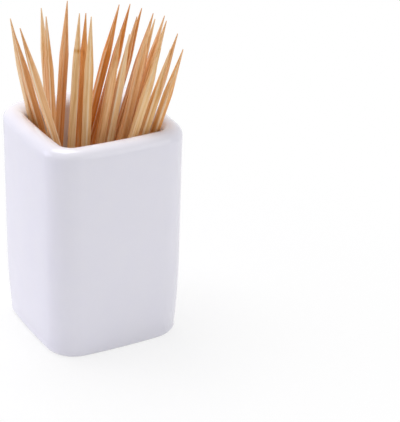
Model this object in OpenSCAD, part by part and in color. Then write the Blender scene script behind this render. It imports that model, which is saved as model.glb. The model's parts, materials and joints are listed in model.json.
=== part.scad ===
// A small square porcelain cup that holds loose wooden toothpicks.
// The origin is the middle of the foot ring, on the table. +Z is up.

/* [Cup] */
// Width at the rim, across the middles of two opposite sides
cup_w = 30.8; // [30.8:0.4:36]
// Height from the table to the top of the rim
cup_h = 46.2; // [44:0.2:50]
// How far each side bows out at its middle
side_bow = 0.8; // [0.4:0.05:1.2]
// Radius of the four upright corners outside
corner_r = 6.3; // [5:0.1:7]
// Radius of the four upright corners inside
hollow_corner_r = 1.6; // [1.2:0.1:2]
// Thickness of the wall below the rim
wall = 4.6; // [4.2:0.1:4.8]
// Radius of the rim's outer round, the rest of the wall is its inner round
rim_out_r = 2.2; // [1.8:0.1:2.6]
// How much each side draws in from the rim to the table
side_taper = 0.2; // [0:0.02:0.4]
// How much further the sides tuck in at the table
foot_tuck = 0.64; // [0.2:0.02:1]
// Height at which the tuck begins
tuck_h = 16; // [10:0.5:18]

/* [Hollow] */
// Thickness of the floor inside
floor_t = 4.2; // [3.4:0.1:5]
// Radius between the floor and the inside of the walls
floor_fillet_r = 2; // [1.6:0.1:2.4]
// How much the inside of each wall draws in from the rim to the floor
hollow_draft = 0.4; // [0.2:0.05:0.6]

/* [Foot] */
// Radius of the edge where the sides meet the table
foot_edge_r = 1; // [0.6:0.1:1.6]
// Width of the flat ring that the cup stands on
foot_ring_w = 3; // [2:0.1:4]
// Depth of the recess inside the foot ring
foot_recess = 0.8; // [0.4:0.1:1.4]

/* [Toothpicks] */
// Length of a whole toothpick
pick_l = 65; // [62:0.5:70]
// Width of a toothpick across its flats
pick_w = 1.5; // [1.2:0.05:1.5]
// Width of a toothpick across its worn corners
pick_corner_w = 1.86; // [1.6:0.02:1.9]
// Length of the point at each end
pick_point_l = 11; // [8:0.5:13]
// Width of the blunt tip of a point
pick_tip_w = 0.3; // [0.2:0.01:0.6]
// Gap that a toothpick keeps from the wall and the floor
pick_gap = 0.2; // [0.15:0.01:0.25]

/* [Hidden] */
// Radius of the arc that bows a side, and how far past the axis its centre lies
half_w = cup_w / 2;
bow_r = (pow(half_w - side_bow, 2) / side_bow + side_bow) / 2;
bow_back = bow_r - half_w;
rim_in_r = wall - rim_out_r;
// Height where the rim's inner round ends and the straight hollow begins
hollow_top = cup_h - rim_in_r;

// How far from the axis a toothpick can stand on the floor and lean at the rim
foot_reach = half_w - wall - hollow_draft - floor_fillet_r;
rim_reach = half_w - wall - pick_corner_w / 2 - pick_gap;

// Steps on a corner, on half a side, on a quarter round and round a toothpick
corner_steps = 8;
side_steps = 3;
round_steps = 6;
pick_steps = 32;

glaze_colour = "#F6F5F8";
wood_colours = ["#E3C08F", "#D9A273", "#C98A58", "#B8692F"];

// One row for each toothpick, from the back left of the cup to its front right:
// its foot as shares of foot_reach, its place at the rim as shares of rim_reach,
// its length as a share of pick_l, its turn in degrees and the number of its colour
pick_shares = [
    [[-0.19, 0.99], [-0.93, 0.95], 0.96, 10, 0],
    [[0.17, 0.84], [-0.88, 0.73], 0.96, 0, 1],
    [[0.01, -0.94], [-0.97, -0.26], 1, 30, 1],
    [[-0.71, 0.23], [-0.82, 0.3], 1, 0, 0],
    [[-0.81, 0.07], [-0.88, 0.05], 0.99, 20, 1],
    [[-0.98, 0.48], [-0.5, 0.52], 1, 0, 1],
    [[-0.96, -0.2], [-0.56, -0.2], 1, -15, 0],
    [[-0.67, -0.11], [-0.34, -0.1], 0.99, 0, 2],
    [[-0.53, -0.3], [-0.34, -0.41], 1, -10, 0],
    [[-0.99, 0.68], [0.19, 0.48], 1, 0, 3],
    [[-0.78, 0.67], [0.41, 0.46], 1, 0, 3],
    [[-0.56, 0.66], [0.62, 0.37], 0.99, 8, 2],
    [[-0.34, 0.58], [0.81, 0.22], 0.98, 0, 1],
    [[-0.12, 0.53], [0.97, 0.06], 0.98, -10, 1],
    [[-0.57, 0.38], [0.42, 0.03], 0.98, 0, 1],
    [[-0.36, 0.32], [0.7, -0.1], 0.98, 0, 0],
    [[-0.13, 0.28], [0.88, -0.23], 0.98, 0, 1],
    [[-0.52, 0.19], [-0.02, -0.46], 0.98, -36, 1],
    [[-0.31, 0.15], [0.18, -0.48], 0.96, -36, 0],
    [[-0.1, 0.12], [0.49, -0.52], 1, -44, 1],
    [[0.09, 0.1], [0.75, -0.57], 0.97, -46, 0],
    [[-0.43, -0.17], [0.45, -0.93], 0.95, -46, 0],
    [[-0.15, -0.17], [0.69, -0.93], 0.94, -46, 0],
    [[0.25, 0.56], [0.97, -0.53], 0.98, 0, 1],
    [[0.6, 0.62], [0.97, -0.9], 0.98, 0, 2]
];

function pick_name(i) = str("toothpick_", i < 9 ? "0" : "", i + 1);

// Points of an arc about a centre, without its last point
function arc(centre, radius, from, to, steps) = [
    for (i = [0 : steps - 1])
        let (angle = from + (to - from) * i / steps)
            centre + radius * [cos(angle), sin(angle)]
];

// Where a corner's centre lies on the diagonal, so that its arc meets both sides smoothly
function corner_centre(inset, radius) =
    (sqrt(2 * pow(bow_r - inset - radius, 2) - pow(bow_back, 2)) - bow_back) / 2;

// A quarter of the cup's outline, from the middle of one side to the middle of the next
function quarter(inset, radius) =
    let (
        centre = corner_centre(inset, radius),
        turn = atan2(centre, centre + bow_back)
    )
    concat(
        arc([-bow_back, 0], bow_r - inset, 0, turn, side_steps),
        arc([centre, centre], radius, turn, 90 - turn, corner_steps),
        arc([0, -bow_back], bow_r - inset, 90 - turn, 90, side_steps)
    );

function turned(point, angle) = [
    point.x * cos(angle) - point.y * sin(angle),
    point.x * sin(angle) + point.y * cos(angle)
];

// The cup's whole outline, drawn in from the outside of the rim by inset
function outline(inset, radius) = [
    for (side = [0 : 3], point = quarter(inset, radius)) turned(point, 90 * side)
];

// How far the outside stands in at a height, and how far the hollow's wall does
function skin_inset(z) =
    side_taper * (1 - z / cup_h) + foot_tuck * pow(max(1 - z / tuck_h, 0), 2);
function hollow_inset(z) =
    wall + hollow_draft * (hollow_top - z) / (hollow_top - floor_t);

// The upright corners get sharper through the rim, from outside to inside
function rim_corner_r(inset) =
    corner_r + (hollow_corner_r - corner_r) * inset / wall;

// The cup's rings, from the table up the outside, over the rim and down to the floor.
// Each ring is [inset, height, corner radius].
foot_rings = [
    for (i = [0 : round_steps])
        let (
            angle = 90 * i / round_steps,
            z = foot_edge_r * (1 - cos(angle)),
            edge = foot_edge_r * (1 - sin(angle))
        )
        [skin_inset(z) + edge, z, corner_r - edge]
];
tuck_rings = [
    for (i = [1 : round_steps])
        let (z = foot_edge_r + (tuck_h - foot_edge_r) * i / round_steps)
            [skin_inset(z), z, corner_r]
];
rim_out_rings = [
    for (i = [0 : round_steps])
        let (
            angle = 90 * i / round_steps,
            z = cup_h - rim_out_r * (1 - sin(angle)),
            inset = skin_inset(cup_h - rim_out_r) * cos(angle) + rim_out_r * (1 - cos(angle))
        )
        [inset, z, rim_corner_r(inset)]
];
rim_in_rings = [
    for (i = [1 : round_steps])
        let (
            angle = 90 * i / round_steps,
            inset = rim_out_r + rim_in_r * sin(angle)
        )
        [inset, hollow_top + rim_in_r * cos(angle), rim_corner_r(inset)]
];
floor_rings = [
    for (i = [0 : round_steps])
        let (
            angle = 90 * i / round_steps,
            z = floor_t + floor_fillet_r * (1 - sin(angle))
        )
        [hollow_inset(z) + floor_fillet_r * (1 - cos(angle)), z, hollow_corner_r]
];
cup_rings = concat(foot_rings, tuck_rings, rim_out_rings, rim_in_rings, floor_rings);

// A solid skinned through rings of points, closed by a flat face at each end
module skinned(rings) {
    count = len(rings[0]);
    last = len(rings) - 1;
    points = [for (ring = rings, point = ring) point];
    sides = [
        for (level = [0 : last - 1], i = [0 : count - 1])
            let (
                a = level * count + i,
                b = level * count + (i + 1) % count
            )
            each [[a, a + count, b + count], [a, b + count, b]]
    ];
    first_face = [for (i = [0 : count - 1]) i];
    last_face = [for (i = [count - 1 : -1 : 0]) last * count + i];
    polyhedron(points = points, faces = concat([first_face], sides, [last_face]));
}

// The one-piece cup: walls, rolled rim, floor and foot ring
module holder() {
    recess_inset = skin_inset(0) + foot_edge_r + foot_ring_w;
    color(glaze_colour)
        difference() {
            skinned([
                for (ring = cup_rings)
                    [for (point = outline(ring[0], ring[2])) [point.x, point.y, ring[1]]]
            ]);
            translate([0, 0, -foot_recess])
                linear_extrude(2 * foot_recess)
                    polygon(outline(recess_inset, hollow_corner_r));
        }
}

// A straight square toothpick on the Z axis, its foot at the origin, pointed at both ends
module toothpick_blank(length) {
    corner = pick_corner_w / 2;
    tip = pick_tip_w / 2;
    intersection() {
        translate([-pick_w / 2, -pick_w / 2, 0])
            cube([pick_w, pick_w, length]);
        rotate_extrude($fn = pick_steps)
            polygon([
                [0, 0],
                [tip, 0],
                [corner, pick_point_l],
                [corner, length - pick_point_l],
                [tip, length],
                [0, length]
            ]);
    }
}

// One toothpick of the table, standing on the floor and leaning to its place at the rim
module toothpick(row) {
    foot = row[0] * foot_reach;
    lean = row[1] * rim_reach - foot;
    foot_z = floor_t + pick_gap;
    color(wood_colours[row[4]])
        translate([foot.x, foot.y, foot_z])
            rotate([0, atan2(norm(lean), hollow_top - foot_z), atan2(lean.y, lean.x)])
                rotate([0, 0, row[3]])
                    toothpick_blank(pick_l * row[2]);
}

holder();
for (i = [0 : len(pick_shares) - 1])
    toothpick(pick_shares[i]);
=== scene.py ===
# %% [markdown]
# A small square cup of white porcelain holds a bundle of loose bamboo toothpicks.
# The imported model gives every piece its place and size, in metres, with +Z up and
# the table at zero. Everything made here is fitted to that frame.

# %% Load the frame
import json
import math
import bpy
import numpy as np
from mathutils import Matrix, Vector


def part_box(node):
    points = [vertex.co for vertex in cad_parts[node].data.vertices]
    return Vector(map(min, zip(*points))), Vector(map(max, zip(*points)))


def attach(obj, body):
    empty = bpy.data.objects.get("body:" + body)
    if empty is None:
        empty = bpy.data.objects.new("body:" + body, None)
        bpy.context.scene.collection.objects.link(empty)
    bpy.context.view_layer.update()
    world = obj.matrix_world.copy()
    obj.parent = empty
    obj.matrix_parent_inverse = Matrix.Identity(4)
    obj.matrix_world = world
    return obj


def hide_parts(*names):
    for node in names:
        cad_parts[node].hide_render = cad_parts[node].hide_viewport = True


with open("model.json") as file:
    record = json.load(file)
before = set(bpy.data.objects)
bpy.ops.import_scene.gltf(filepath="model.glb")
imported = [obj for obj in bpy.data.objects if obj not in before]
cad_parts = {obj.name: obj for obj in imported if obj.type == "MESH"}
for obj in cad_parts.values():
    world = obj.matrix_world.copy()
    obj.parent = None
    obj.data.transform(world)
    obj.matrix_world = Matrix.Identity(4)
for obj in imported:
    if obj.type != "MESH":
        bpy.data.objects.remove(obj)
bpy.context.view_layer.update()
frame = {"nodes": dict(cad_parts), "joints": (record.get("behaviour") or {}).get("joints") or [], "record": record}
MM = 0.001
print("solids in the frame:", len(frame["nodes"]))

# %% [markdown]
# Colours are easiest to read as hex values, which are sRGB. A shader wants linear
# light, so one function turns the first into the second.

# %% Colours
def linear(code):
    """Linear RGBA of an sRGB hex code: each channel c becomes ((c + 0.055) / 1.055) ** 2.4."""
    parts = [int(code[i:i + 2], 16) / 255 for i in (1, 3, 5)]
    light = [c / 12.92 if c <= 0.04045 else ((c + 0.055) / 1.055) ** 2.4 for c in parts]
    return (*light, 1.0)


print("glaze white in linear light:", [round(c, 3) for c in linear("#F1F0F8")])

# %% [markdown]
# A material is a small net of nodes. One function adds a node, sets its values and
# joins its inputs, so that each material below reads from top to bottom. A socket goes
# by its name, or by its number where a node has several of one name: in a Mix node 0 is
# the share, 2 and 3 are two numbers, and 6 and 7 are two colours.

# %% Add a node
def add(tree, kind, settings=None, links=None):
    """Adds a shader node. settings holds sockets, properties or colour stops, links its sources."""
    node = tree.nodes.new("ShaderNode" + kind)
    for name, value in (settings or {}).items():
        if name == "stops":
            ramp = node.color_ramp
            while len(ramp.elements) < len(value):
                ramp.elements.new(0.5)
            for element, (place, colour) in zip(ramp.elements, value):
                element.position = place
                element.color = linear(colour)
        elif isinstance(name, int) or name in node.inputs:
            node.inputs[name].default_value = value
        else:
            setattr(node, name, value)
    for name, source in (links or {}).items():
        tree.links.new(source, node.inputs[name])
    return node


def new_material(name):
    """An empty material and its node tree."""
    material = bpy.data.materials.new(name)
    material.use_nodes = True
    material.node_tree.nodes.clear()
    return material, material.node_tree


print("node helper ready")

# %% [markdown]
# The photograph was taken from the front left, a little above the rim, with a long
# lens. The cup stands in the left half of the frame, so the camera looks past it on
# the right. Its place and its direction are therefore given separately.

# %% Camera
VIEW_DISTANCE = 0.354  # metres from the middle of the cup
VIEW_AZIMUTH, VIEW_ELEVATION = -25.775, 26.694
LOOK_AZIMUTH, LOOK_ELEVATION, LOOK_ROLL = -29.79, 26.36, 1.72
FOCAL_SHARE = 4.0595  # focal length over the long side of the picture
SENSOR_MM, NEAR_CLIP = 36.0, 0.01


def direction(azimuth, elevation):
    """Unit vector from the object towards a viewer: azimuth 0 is -Y, 90 is +X."""
    a, e = math.radians(azimuth), math.radians(elevation)
    return np.array([math.sin(a) * math.cos(e), -math.cos(a) * math.cos(e), math.sin(e)])


cup_low, cup_high = (np.array(corner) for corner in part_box("holder"))
cup_middle = np.array([0, 0, (cup_low[2] + cup_high[2]) / 2])
eye = cup_middle + VIEW_DISTANCE * direction(VIEW_AZIMUTH, VIEW_ELEVATION)
back = direction(LOOK_AZIMUTH, LOOK_ELEVATION)
right = np.cross([0, 0, 1], back)
right /= np.linalg.norm(right)
turned = Matrix([right, np.cross(back, right), back]).transposed()
camera = bpy.data.objects.new("camera", bpy.data.cameras.new("camera"))
camera.data.sensor_width = SENSOR_MM
camera.data.lens = SENSOR_MM * FOCAL_SHARE
camera.data.clip_start = NEAR_CLIP
camera.matrix_world = (
    Matrix.Translation(eye) @ turned.to_4x4() @ Matrix.Rotation(math.radians(LOOK_ROLL), 4, "Z")
)
bpy.context.collection.objects.link(camera)
bpy.context.scene.camera = camera
print("camera at", np.round(eye, 3))

# %% [markdown]
# The background is bright and plain. A white cup would vanish in a world that lights
# it from all sides at full strength, so the world is white only where it is looked
# at, straight, in a reflection or through something clear. As light it is less than
# half as strong, and very slightly cool.

# %% World
WORLD_LIGHT, WORLD_TINT = 0.43, "#FAFAFF"


def looked_at(tree):
    """1 for a ray from the camera, off a gloss or through something clear, else 0: the largest of the
    three flags."""
    rays = add(tree, "LightPath").outputs
    indirect = {0: rays["Is Glossy Ray"], 1: rays["Is Transmission Ray"]}
    flags = {0: rays["Is Camera Ray"], 1: add(tree, "Math", {"operation": "MAXIMUM"}, indirect).outputs[0]}
    return add(tree, "Math", {"operation": "MAXIMUM"}, flags).outputs[0]


scene = bpy.context.scene
scene.view_settings.view_transform = "Standard"
scene.world = bpy.data.worlds.new("studio")
scene.world.use_nodes = True
sky = scene.world.node_tree
sky.nodes.clear()
seen = looked_at(sky)
strength = add(sky, "Mix", {2: WORLD_LIGHT, 3: 1.0}, {0: seen})
tints = {"data_type": "RGBA", 6: linear(WORLD_TINT), 7: linear("#FFFFFF")}
tint = add(sky, "Mix", tints, {0: seen})
glow = add(sky, "Background", None, {"Color": tint.outputs[2], "Strength": strength.outputs[0]})
add(sky, "OutputWorld", None, {"Surface": glow.outputs[0]})
print("world light", WORLD_LIGHT)

# %% [markdown]
# Three soft boxes do the rest. A wide one overhead, a little behind the cup, makes
# the rim the brightest part. One at the left, faintly violet, lights the cup's left
# side more than its front and gives each toothpick a bright edge. One at the right
# keeps the front from falling off. They are area lamps, because their size is what
# softens the shadows between the toothpicks.

# %% Soft boxes
def soft_box(name, azimuth, elevation, distance, size, watts, colour):
    """A square area lamp that faces the cup's rim, with its place as two angles and a distance in
    metres."""
    data = bpy.data.lights.new(name, "AREA")
    data.size = size
    data.energy = watts
    data.color = linear(colour)[:3]
    lamp = bpy.data.objects.new(name, data)
    out = direction(azimuth, elevation)
    lamp.location = np.array([0, 0, cup_high[2]]) + distance * out
    lamp.rotation_euler = (math.radians(90 - elevation), 0, math.radians(azimuth))
    bpy.context.collection.objects.link(lamp)
    return lamp


soft_box(
    "overhead_box", azimuth=200, elevation=72, distance=0.5, size=0.38, watts=1.82, colour="#FFFEFC"
)
soft_box(
    "left_box", azimuth=-120, elevation=12, distance=0.55, size=0.35, watts=0.62, colour="#E4E0FF"
)
soft_box(
    "right_box", azimuth=32, elevation=14, distance=0.55, size=0.35, watts=0.52, colour="#FFFEFF"
)

# %% [markdown]
# The table is a sheet of matt white paper. Lit plainly it would look grey beside the
# background, so where it is looked at it is lifted to white. Close to the cup about a
# fifth of it stays lit paper, which keeps a soft shadow at the cup's foot. Further out
# the lift grows until the paper has no edge against the background. For the light that
# it throws back on the cup it is paper alone.

# %% Table
TABLE_HALF = 2.0
LIFT_NEAR, LIFT_FAR = 0.78, 1.0
NEAR_REACH, FAR_REACH = 0.02, 0.1  # metres from the middle of the cup
table_mesh = bpy.data.meshes.new("table")
table_corners = [(TABLE_HALF * x, TABLE_HALF * y, 0) for x, y in ((-1, -1), (1, -1), (1, 1), (-1, 1))]
table_mesh.from_pydata(table_corners, [], [(0, 1, 2, 3)])
table = bpy.data.objects.new("table", table_mesh)
bpy.context.collection.objects.link(table)
paper, paper_tree = new_material("matt_white_paper")
matt = {"Base Color": linear("#FBFBFB"), "Roughness": 0.9, "Specular IOR Level": 0.1}
sheet = add(paper_tree, "BsdfPrincipled", matt)
on_table = add(paper_tree, "TexCoord").outputs["Object"]
reach = add(paper_tree, "VectorMath", {"operation": "LENGTH"}, {0: on_table}).outputs["Value"]
lift_range = {
    "interpolation_type": "SMOOTHSTEP",
    "From Min": NEAR_REACH, "From Max": FAR_REACH, "To Min": LIFT_NEAR, "To Max": LIFT_FAR,
}
share = add(paper_tree, "MapRange", lift_range, {"Value": reach}).outputs[0]
bright = add(paper_tree, "Math", {"operation": "MULTIPLY"}, {0: share, 1: looked_at(paper_tree)})
lift = add(paper_tree, "Emission", {"Strength": 1.0})
layers = {0: bright.outputs[0], 1: sheet.outputs[0], 2: lift.outputs[0]}
paper_look = add(paper_tree, "MixShader", None, layers)
add(paper_tree, "OutputMaterial", None, {"Surface": paper_look.outputs[0]})
table_mesh.materials.append(paper)
print("table", 2 * TABLE_HALF, "m wide")

# %% [markdown]
# Every piece here is a skin: rings of points, one after another, closed by a point
# at each end. numpy works out the rings as whole arrays, and this function turns
# them into a mesh whose faces point outwards.

# %% Skin a solid
def skin(name, rings, start, end, material):
    """A closed mesh: quads join ring to ring, and triangle fans join the first and last to a point."""
    rows, columns = rings.shape[:2]
    points = np.vstack([start, rings.reshape(-1, 3), end])
    near = np.arange(columns)
    after = (near + 1) % columns
    level = 1 + columns * np.arange(rows - 1)[:, None]
    quads = np.stack([level + near, level + after, level + columns + after, level + columns + near], -1)
    last = 1 + columns * (rows - 1)
    first_fan = np.stack([np.zeros_like(near), 1 + after, 1 + near], -1)
    last_fan = np.stack([np.full_like(near, last + columns), last + near, last + after], -1)
    faces = quads.reshape(-1, 4).tolist() + first_fan.tolist() + last_fan.tolist()
    mesh = bpy.data.meshes.new(name)
    mesh.from_pydata(points, [], faces)
    mesh.shade_smooth()
    mesh.materials.append(material)
    piece = bpy.data.objects.new(name, mesh)
    bpy.context.collection.objects.link(piece)
    return piece


def inside_volume(piece):
    """Volume in cubic millimetres: the sum of the signed pyramids from the origin to each face. It is
    positive where the faces point outwards."""
    mesh = piece.data
    mesh.calc_loop_triangles()
    corners = np.empty(3 * len(mesh.loop_triangles), int)
    mesh.loop_triangles.foreach_get("vertices", corners)
    points = np.empty(3 * len(mesh.vertices))
    mesh.vertices.foreach_get("co", points)
    a, b, c = points.reshape(-1, 3)[corners].reshape(-1, 3, 3).transpose(1, 0, 2)
    return float(np.einsum("ij,ij->i", a, np.cross(b, c)).sum()) / 6 / MM**3


print("skin helper ready")

# %% [markdown]
# The cup is cast porcelain. Seen from above it is a square whose sides bow out a
# little and whose corners are round. All those curves are arcs that meet smoothly,
# so the outline is worked out from arcs and not drawn through points.

# %% Outline of the cup
HALF = (cup_high[0] - cup_low[0]) / 2
HEIGHT = cup_high[2]
SIDE_BOW = 0.8 * MM
CORNER_R, HOLLOW_CORNER_R = 6.3 * MM, 1.6 * MM
WALL, RIM_OUT_R = 4.6 * MM, 2.2 * MM
BOW_R = ((HALF - SIDE_BOW) ** 2 / SIDE_BOW + SIDE_BOW) / 2
BOW_BACK = BOW_R - HALF
SIDE_STEPS, CORNER_STEPS = 20, 24


def arc(centre_x, centre_y, radius, start, stop, steps):
    """x + iy along an arc, one row for each ring: centre + radius * e^(i angle), without its last point."""
    angle = start + (stop - start) * np.arange(steps) / steps
    return centre_x + 1j * centre_y + radius * np.exp(1j * angle)


def outlines(inset, corner):
    """One closed outline for each ring, drawn in by inset, with corners of the given radius."""
    inset, corner = inset[:, None], corner[:, None]
    middle = (np.sqrt(2 * (BOW_R - inset - corner) ** 2 - BOW_BACK**2) - BOW_BACK) / 2
    turn = np.arctan2(middle, middle + BOW_BACK)
    quarter = np.hstack([
        arc(-BOW_BACK, 0, BOW_R - inset, 0, turn, SIDE_STEPS),
        arc(middle, middle, corner, turn, math.pi / 2 - turn, CORNER_STEPS),
        arc(0, -BOW_BACK, BOW_R - inset, math.pi / 2 - turn, math.pi / 2, SIDE_STEPS),
    ])
    return np.hstack([quarter * 1j**side for side in range(4)])


print("points in an outline:", outlines(np.zeros(1), np.full(1, CORNER_R)).shape[1])

# %% [markdown]
# Cut through the middle, the wall is a long profile. Outside it tapers a little and
# tucks in at the foot, inside it draws in towards the floor, and a thick rolled rim
# joins the two. Each of these is a short formula for how far the wall stands in from
# the outside at a height.

# %% Walls of the cup
SIDE_TAPER, FOOT_TUCK, TUCK_H = 0.2 * MM, 0.64 * MM, 16 * MM
FLOOR_T, FLOOR_FILLET_R, DRAFT = 4.2 * MM, 2.0 * MM, 0.4 * MM
FOOT_EDGE_R, FOOT_RING_W, RECESS = 1.0 * MM, 3.0 * MM, 0.8 * MM
RIM_IN_R = WALL - RIM_OUT_R
HOLLOW_TOP = HEIGHT - RIM_IN_R
GLAZE_BEAD, BEAD_H = 0.07 * MM, 0.35 * MM


def skin_inset(z):
    """How far the outside stands in: a straight taper, a parabola below the tuck's height, and less a
    bell where the glaze gathers in a thin bead above the foot."""
    bead = GLAZE_BEAD * np.exp(-(((z - FOOT_EDGE_R) / BEAD_H) ** 2))
    return SIDE_TAPER * (1 - z / HEIGHT) + FOOT_TUCK * np.maximum(1 - z / TUCK_H, 0) ** 2 - bead


def hollow_inset(z):
    """How far the hollow's wall stands in: the wall, and a draft that grows towards the floor."""
    return WALL + DRAFT * (HOLLOW_TOP - z) / (HOLLOW_TOP - FLOOR_T)


def rim_corner(inset):
    """The radius of the upright corners falls evenly through the rim, from outside to inside."""
    return CORNER_R + (HOLLOW_CORNER_R - CORNER_R) * inset / WALL


print("depth of the hollow:", round(float(HEIGHT - FLOOR_T) / MM, 1), "mm")

# %% [markdown]
# The profile starts inside the foot ring, crosses it, goes up the outside, over the
# rim and down to the floor. A round stretch takes its steps by angle, so that it
# stays round, and every other one takes even steps. Each row is one ring of the cup:
# how far it stands in, how high it lies and how round its corners are.

# %% Profile of the cup
ROUND_STEPS, SIDE_ROWS, WALL_ROWS, FOOT_ROWS, LIP_ROWS = 25, 70, 40, 10, 6
LIP_IN, LIP_UP = 0.12 * MM, 0.15 * MM  # the softened edge where the foot ring meets its recess


def stretch(inset, z, corner):
    """A stretch of the profile as rows of inset, height and corner radius."""
    return np.stack(np.broadcast_arrays(inset, z, corner), -1)


quarter_turn = np.linspace(0, math.pi / 2, ROUND_STEPS)
sin, cos = np.sin(quarter_turn), np.cos(quarter_turn)
foot_edge_in = skin_inset(0) + FOOT_EDGE_R
foot_in = foot_edge_in + FOOT_RING_W
lip_z = np.linspace(RECESS, LIP_UP, LIP_ROWS)
ring_inset = np.linspace(foot_in - LIP_IN, foot_edge_in, FOOT_ROWS)
ring_corner = np.linspace(HOLLOW_CORNER_R, CORNER_R - FOOT_EDGE_R, FOOT_ROWS)
edge_in = FOOT_EDGE_R * (1 - sin)
edge_z = FOOT_EDGE_R * (1 - cos)
side_z = np.linspace(FOOT_EDGE_R, HEIGHT - RIM_OUT_R, SIDE_ROWS)[1:-1]
rim_inset = skin_inset(HEIGHT - RIM_OUT_R) * cos + RIM_OUT_R * (1 - cos)
roll_inset = RIM_OUT_R + RIM_IN_R * sin[1:]
wall_z = np.linspace(HOLLOW_TOP, FLOOR_T + FLOOR_FILLET_R, WALL_ROWS)[1:-1]
floor_z = FLOOR_T + FLOOR_FILLET_R * (1 - sin)
profile = np.vstack([
    stretch(foot_in, lip_z, HOLLOW_CORNER_R),
    stretch(ring_inset, 0, ring_corner),
    stretch(skin_inset(edge_z) + edge_in, edge_z, CORNER_R - edge_in)[1:],
    stretch(skin_inset(side_z), side_z, CORNER_R),
    stretch(rim_inset, HEIGHT - RIM_OUT_R * (1 - sin), rim_corner(rim_inset)),
    stretch(roll_inset, HOLLOW_TOP + RIM_IN_R * cos[1:], rim_corner(roll_inset)),
    stretch(hollow_inset(wall_z), wall_z, HOLLOW_CORNER_R),
    stretch(hollow_inset(floor_z) + FLOOR_FILLET_R * (1 - cos), floor_z, HOLLOW_CORNER_R),
])
print("rings in the profile:", len(profile))

# %% [markdown]
# Porcelain is never perfectly true: it softens in the kiln. A wave of a few
# hundredths of a millimetre bends the reflections without changing the shape. It only
# draws the wall in, so the cup never leaves its box. The recess and the floor are
# closed by smaller and smaller copies of the ring next to them.

# %% Rings of the cup
WARP_SHARE = 0.0012
WARP_WAVES = ((3, 0.7, 40), (5, 2.1, -90))  # waves round the cup, first angle, radians a metre up
CAP_RINGS, CAP_SHARES = 8, (0.12, 0.96)


def porcelain_rings(profile):
    """The rings in space. Each point moves in by a share that two waves set, which run round and up
    the cup: share * (1 + half the sum of cos(waves * angle + first angle + height * radians a metre))."""
    plane = outlines(profile[:, 0], profile[:, 2])
    height = profile[:, 1:2] * np.ones(plane.shape)
    angle = np.angle(plane)
    wave = sum(np.cos(count * angle + first + twist * height) for count, first, twist in WARP_WAVES)
    plane = plane * (1 - WARP_SHARE * (1 + wave / 2))
    return np.stack([plane.real, plane.imag, height], -1)


cup_rings = porcelain_rings(profile)
cap_share = np.linspace(*CAP_SHARES, CAP_RINGS)
shrink = np.stack([cap_share, cap_share, np.ones(CAP_RINGS)], -1)[:, None, :]
recess_caps = cup_rings[0] * shrink
floor_caps = cup_rings[-1] * shrink[::-1]
print("widest ring:", round(float(np.ptp(cup_rings[..., 0])) / MM, 2), "mm")

# %% [markdown]
# The glaze is a glassy coat, fired on. It is white with a trace of blue where it
# lies thick, it mirrors the lamps in soft shapes, and it has a slight orange peel.
# The foot ring is wiped clean before firing, so there the bare body shows: matt, a
# little warmer and finely sandy.

# %% Glazed porcelain
PEEL_MM, PEEL_DEPTH_MM = 5.0, 0.02
GRIT_MM, GRIT_DEPTH_MM = 0.25, 0.03
GLAZE_ROUGH, BODY_ROUGH = 0.1, 0.75
GLAZE_STOPS = [(0.35, "#F1F0F8"), (0.65, "#F2F1F8")]
BODY_STOPS = [(0.3, "#DCD6CB"), (0.7, "#EFEBE3")]
porcelain, tree = new_material("white_glazed_porcelain")
in_cup = {"Vector": add(tree, "TexCoord").outputs["Object"]}
peel = add(tree, "TexNoise", {"Scale": 1 / (PEEL_MM * MM), "Detail": 2.0}, in_cup).outputs[0]
grit = add(tree, "TexNoise", {"Scale": 1 / (GRIT_MM * MM), "Detail": 3.0}, in_cup).outputs[0]
bare = add(tree, "Attribute", {"attribute_name": "bare"}).outputs["Fac"]
glazed = add(tree, "ValToRGB", {"stops": GLAZE_STOPS}, {"Fac": peel})
body = add(tree, "ValToRGB", {"stops": BODY_STOPS}, {"Fac": grit})
coats = {0: bare, 6: glazed.outputs[0], 7: body.outputs[0]}
colour = add(tree, "Mix", {"data_type": "RGBA"}, coats)
rough = add(tree, "Mix", {2: GLAZE_ROUGH, 3: BODY_ROUGH}, {0: bare})
peel_depth = {"Distance": PEEL_DEPTH_MM * MM, "Strength": 0.6}
relief = add(tree, "Bump", peel_depth, {"Height": peel})
sandy = {"Height": grit, "Strength": bare, "Normal": relief.outputs[0]}
sand = add(tree, "Bump", {"Distance": GRIT_DEPTH_MM * MM}, sandy)
finish = {"Base Color": colour.outputs[2], "Roughness": rough.outputs[0], "Normal": sand.outputs[0]}
glaze = add(tree, "BsdfPrincipled", {"IOR": 1.5}, finish)
add(tree, "OutputMaterial", None, {"Surface": glaze.outputs[0]})
print("glaze nodes:", len(tree.nodes))

# %% [markdown]
# The cup's mesh carries the share of bare body at each point as an attribute, since
# only the mesh knows which of its points lie on the foot ring. It fades out over the
# height where the potter's sponge takes the glaze off.

# %% Place the cup
WIPED_H = 0.35 * MM
all_rings = np.concatenate([recess_caps, cup_rings, floor_caps])
cup = skin("porcelain_cup", all_rings, [0, 0, RECESS], [0, 0, FLOOR_T], porcelain)
height = np.concatenate([[RECESS], all_rings[..., 2].ravel(), [FLOOR_T]])
bare_share = np.clip(1 - height / WIPED_H, 0, 1)
cup.data.attributes.new("bare", "FLOAT", "POINT").data.foreach_set("value", bare_share)
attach(cup, "cup")
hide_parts("holder")
print("cup volume:", round(inside_volume(cup)), "mm3")

# %% [markdown]
# A toothpick is a square stick of split bamboo whose ends are ground to points. The
# frame says where each one lies: its slide gives the direction, and the corners of
# its solid give its foot, its length, its widths and how it is turned.

# %% Measure a toothpick
EDGE_REACH_SHARE = 0.98  # points that reach further out than this are on the stick's edges
END_SLICE_MM = 0.01


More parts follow.
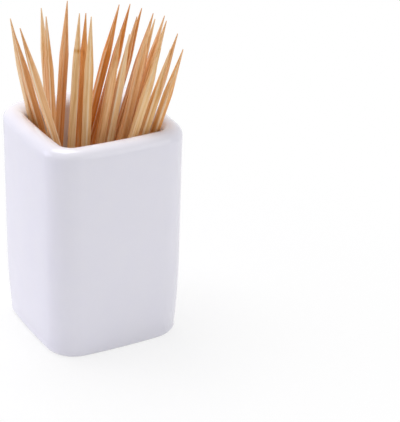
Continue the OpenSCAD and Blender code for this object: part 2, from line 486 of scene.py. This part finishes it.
def measured(node, axis):
    """Foot, axes and sizes of a stick from its solid's points. The points that lie furthest from its
    axis are on its four edges, and a square's four edges share one fourth power of x + iy."""
    mesh = frame["nodes"][node].data
    points = np.empty(3 * len(mesh.vertices))
    mesh.vertices.foreach_get("co", points)
    points = points.reshape(-1, 3)
    along = points @ axis
    foot = points[along < along.min() + END_SLICE_MM * MM].mean(0)
    side = np.cross([0, 1, 0], axis)
    side /= np.linalg.norm(side)
    across = np.cross(axis, side)
    plane = (points - foot) @ side + 1j * ((points - foot) @ across)
    reach = np.abs(plane)
    on_edge = reach > EDGE_REACH_SHARE * reach.max()
    turn = np.angle((plane[on_edge] ** 4).mean()) / 4 - math.pi / 4
    flat = plane * np.exp(-1j * turn)
    side, across = (
        math.cos(turn) * side + math.sin(turn) * across,
        math.cos(turn) * across - math.sin(turn) * side,
    )
    along = along - along.min()
    return {
        "foot": foot, "axis": axis, "side": side, "across": across, "length": along.max(),
        "half_flat": np.abs(flat.real).max(), "half_corner": reach.max(),
        "tip": reach[along < END_SLICE_MM * MM].max(), "point": along[on_edge].min(),
    }


axes = {joint["child"]: np.array(joint["axis"]) for joint in frame["joints"]}
sticks = {node: measured(node, axis / np.linalg.norm(axis)) for node, axis in axes.items()}
sizes = ("length", "half_flat", "half_corner", "tip", "point")
print("first toothpick in mm:", {k: round(float(sticks["toothpick_01"][k]) / MM, 2) for k in sizes})

# %% [markdown]
# Bamboo splits along its fibres, so the faces are not flat: fine ridges run the
# length of the stick and drift slowly round it. A sum of waves gives such ridges.
# Where the square stick was ground to a point, its flats end in long curved facets.
# Those come by themselves, from taking the smaller of a square and a cone.

# %% Surface of a toothpick
ROWS, COLUMNS = 200, 56
CROWDING = 0.5  # how much closer the rows lie towards the ends than in the middle
SOFT_EDGE = 40  # the power of the smooth minimum: the higher, the crisper the edges
TIP_SHARE = 0.6  # the stick is a little finer than its solid at the very tip
FEWEST_RIDGES, MOST_RIDGES, RIDGE_CONTRAST = 3, 16, 1.6
RIDGE_DEPTH_SHARE, RIDGE_DRIFT, RIDGE_SWAY, BOW_MM = 0.03, 90, 2, 0.05
SEED = 7
rng = np.random.default_rng(SEED)


def ridges(turn, along, rng):
    """The mean of waves of few to many ridges round the stick, from 0 to 1. Each wave's phase drifts
    and sways as it goes along: cos(count * turn + phase + drift * along + sway * cos(drift * along))."""
    count = np.arange(FEWEST_RIDGES, MOST_RIDGES + 1)[:, None, None]
    phase = rng.uniform(0, 2 * math.pi, count.shape)
    drift = rng.normal(0, RIDGE_DRIFT, count.shape)
    wave = np.cos(count * turn + phase + drift * along + RIDGE_SWAY * np.cos(drift * along)).mean(0)
    return np.clip(0.5 + RIDGE_CONTRAST * wave, 0, 1)


def stick_surface(stick, rng):
    """Rings of a stick in its own axes. Its radius is a smooth minimum of a square, half_flat over the
    larger of |cos| and |sin|, and of a circle that grows from the tip along each point."""
    share = np.linspace(0, 1, ROWS)
    share = (share - np.sin(2 * math.pi * share) / (2 * math.pi) * CROWDING)[:, None]
    along = share * stick["length"]
    turn = np.linspace(0, 2 * math.pi, COLUMNS, endpoint=False)[None, :]
    square = stick["half_flat"] / np.maximum(np.abs(np.cos(turn)), np.abs(np.sin(turn)))
    from_end = np.minimum(along, stick["length"] - along)
    grown = np.minimum(from_end / stick["point"], 1)
    tip = stick["tip"] * TIP_SHARE
    circle = tip + (stick["half_corner"] - tip) * grown
    radius = (square ** -SOFT_EDGE + circle ** -SOFT_EDGE) ** (-1 / SOFT_EDGE)
    radius = radius * (1 - RIDGE_DEPTH_SHARE * ridges(turn, along, rng))
    bow = BOW_MM * MM * np.sin(math.pi * share) * rng.uniform(-1, 1, 2)
    x = radius * np.cos(turn) + bow[:, :1]
    y = radius * np.sin(turn) + bow[:, 1:]
    return np.stack(np.broadcast_arrays(x, y, along), -1)


print("points on a toothpick:", ROWS * COLUMNS)

# %% [markdown]
# The edges of a split stick fray and rub pale, and they catch the light. A thin bright
# line is painted along some of them, stronger here and fainter there: partly that wear and
# partly a painted highlight. Now and then a joint of the cane crosses a stick as a dark
# band. Both follow the stick's shape, so they are worked out for each point of the mesh.
# They are kept as an attribute that the wood adds to its grain.

# %% Worn edges with a painted highlight, and joints
# the bright edge line is part wear and part painted highlight
EDGE_WEAR_AND_HIGHLIGHT, EDGE_WIDTH = 0.55, 0.17  # the width is an angle round the stick, in radians
LEAST_EDGE_STRENGTH, EDGE_SWING_SHARE, EDGE_SWING_MM = 0.1, 0.25, 14
JOINT_DARKER, JOINT_MM = 0.25, 0.4
JOINT_SHARES = {"toothpick_07": 0.885}  # how far up the stick its joint lies
NO_JOINT = -1  # a place below the foot, where a joint leaves no mark
TONE_SPREAD = 0.05


def bell(distance, width):
    """1 at no distance, falling to nothing within about two widths: exp(-(distance / width) ** 2)."""
    return np.exp(-((distance / width) ** 2))


def paleness_with_highlight(local, node, length, rng):
    """How much paler than its ground each point is: a bell of the angle from the nearest edge times that
    edge's strength, part wear and part painted highlight, less a bell of the distance from a joint of
    the cane, and a tone of the stick's own. Each of the four edges has its own strength, which comes
    and goes as a cosine along the stick."""
    turn = np.angle(local[..., 0] + 1j * local[..., 1])
    which = np.floor(turn / (math.pi / 2)).astype(int)
    waves = 2 * math.pi * local[..., 2] / (EDGE_SWING_MM * MM) + rng.uniform(0, 2 * math.pi, 4)[which]
    edge_strength = rng.uniform(LEAST_EDGE_STRENGTH, 1, 4)[which] * (1 - EDGE_SWING_SHARE + EDGE_SWING_SHARE * np.cos(waves))
    # painted highlight and pale wear along each edge
    edge = edge_strength * bell(np.mod(turn, math.pi / 2) - math.pi / 4, EDGE_WIDTH)
    joint_place = JOINT_SHARES.get(node, NO_JOINT) * length
    joint = bell(local[..., 2] - joint_place, JOINT_MM * MM)
    return EDGE_WEAR_AND_HIGHLIGHT * edge - JOINT_DARKER * joint + rng.uniform(-TONE_SPREAD, TONE_SPREAD)


print("sticks with a joint:", list(JOINT_SHARES))

# %% [markdown]
# Bamboo is pale straw to orange brown. Its colour lies in long streaks, because the
# darker bundles of fibre run through a lighter ground. The pattern is tied to the
# stick and not to the room, so each mesh carries its own place in the stick, in
# millimetres, as an attribute. Split and never varnished, the wood has only a dull
# sheen.

# %% Split bamboo
STREAK_MM, STREAK_LENGTH_MM = 0.5, 22.0
FIBRE_MM, FIBRE_LENGTH_MM, FIBRE_DEPTH_MM = 0.12, 5.0, 0.03
FIBRE_SHARE = 0.4  # how much of the grain is fibres, the rest is streaks
DARK_AT, LIGHT_AT, WORN_AND_HIGHLIT_AT = 0.27, 0.54, 0.85
ROUGHEST, SMOOTHEST = 0.6, 0.4
# the palest stop: pale worn edges and the painted highlight along them
WORN_AND_HIGHLIT_EDGE = "#FFE8C6"
BAMBOO = {
    "wood_pale": ("#CC861C", "#F8CE94"),
    "wood_peach": ("#C87814", "#F6C288"),
    "wood_tan": ("#BE680A", "#EEAC60"),
    "wood_orange": ("#B85A06", "#EC9E42"),
}


def bamboo(name, dark, light):
    """Streaks and finer fibres, both noise drawn out along the stick, darken and roughen the ground."""
    material, tree = new_material("split_bamboo_" + name)
    in_stick = {"Vector": add(tree, "Attribute", {"attribute_name": "in_stick_mm"}).outputs["Vector"]}
    long_streaks = {"Scale": (1 / STREAK_MM, 1 / STREAK_MM, 1 / STREAK_LENGTH_MM)}
    fine_fibres = {"Scale": (1 / FIBRE_MM, 1 / FIBRE_MM, 1 / FIBRE_LENGTH_MM)}
    along_streaks = {"Vector": add(tree, "Mapping", long_streaks, in_stick).outputs[0]}
    along_fibres = {"Vector": add(tree, "Mapping", fine_fibres, in_stick).outputs[0]}
    streak = add(tree, "TexNoise", {"Scale": 1.0, "Detail": 3.0}, along_streaks).outputs[0]
    fibre = add(tree, "TexNoise", {"Scale": 1.0, "Detail": 2.0}, along_fibres).outputs[0]
    grain = add(tree, "Mix", {0: FIBRE_SHARE}, {2: streak, 3: fibre}).outputs[0]
    # this attribute carries pale worn edges with their painted highlight, dark joints and each stick's tone
    paler = add(tree, "Attribute", {"attribute_name": "paler"}).outputs["Fac"]
    tone = add(tree, "Math", {"operation": "ADD"}, {0: grain, 1: paler}).outputs[0]
    stops = [(DARK_AT, dark), (LIGHT_AT, light), (WORN_AND_HIGHLIT_AT, WORN_AND_HIGHLIT_EDGE)]
    colour = add(tree, "ValToRGB", {"stops": stops}, {"Fac": tone}).outputs[0]
    dullness = {"To Min": ROUGHEST, "To Max": SMOOTHEST}
    rough = add(tree, "MapRange", dullness, {"Value": fibre}).outputs[0]
    relief_depth = {"Distance": FIBRE_DEPTH_MM * MM, "Strength": 0.8}
    relief = add(tree, "Bump", relief_depth, {"Height": fibre}).outputs[0]
    sheen = {"IOR": 1.5, "Specular IOR Level": 0.55}
    finish = {"Base Color": colour, "Roughness": rough, "Normal": relief}
    wood = add(tree, "BsdfPrincipled", sheen, finish)
    add(tree, "OutputMaterial", None, {"Surface": wood.outputs[0]})
    return material


bamboos = {slot: bamboo(slot.removeprefix("wood_"), *tones) for slot, tones in BAMBOO.items()}
print("bamboo tones:", list(bamboos))

# %% [markdown]
# Each toothpick is skinned in its own axes and then laid along its slide. Every one
# has its own ridges, streaks and tone, because no two split sticks are alike. Edges
# sharper than an angle are shaded crisp, the rest smooth. Each piece rides on its
# own body, so it can be drawn out of the cup.

# %% Place the toothpicks
EDGE_ANGLE = math.radians(22)
GRAIN_SHIFT_MM = 500
slots = {part["node"]: part["material_slot"] for part in frame["record"]["subparts"]}
for node, stick in sticks.items():
    local = stick_surface(stick, rng)
    rings = stick["foot"] + local @ np.stack([stick["side"], stick["across"], stick["axis"]])
    head = stick["foot"] + stick["axis"] * stick["length"]
    piece = skin("split_" + node, rings, stick["foot"], head, bamboos[slots[node]])
    places = np.vstack([[0, 0, 0], local.reshape(-1, 3), [0, 0, stick["length"]]]) / MM
    places = places + rng.uniform(0, GRAIN_SHIFT_MM, 3)
    in_stick = piece.data.attributes.new("in_stick_mm", "FLOAT_VECTOR", "POINT")
    in_stick.data.foreach_set("vector", places.ravel())
    # these values hold pale worn edges with their painted highlight, dark joints and a tone
    pale = np.pad(paleness_with_highlight(local, node, stick["length"], rng).ravel(), 1)  # a zero for each end point
    paler = piece.data.attributes.new("paler", "FLOAT", "POINT")
    paler.data.foreach_set("value", pale)
    piece.data.set_sharp_from_angle(angle=EDGE_ANGLE)
    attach(piece, node)
    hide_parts(node)
print("last toothpick volume:", round(inside_volume(piece), 1), "mm3")
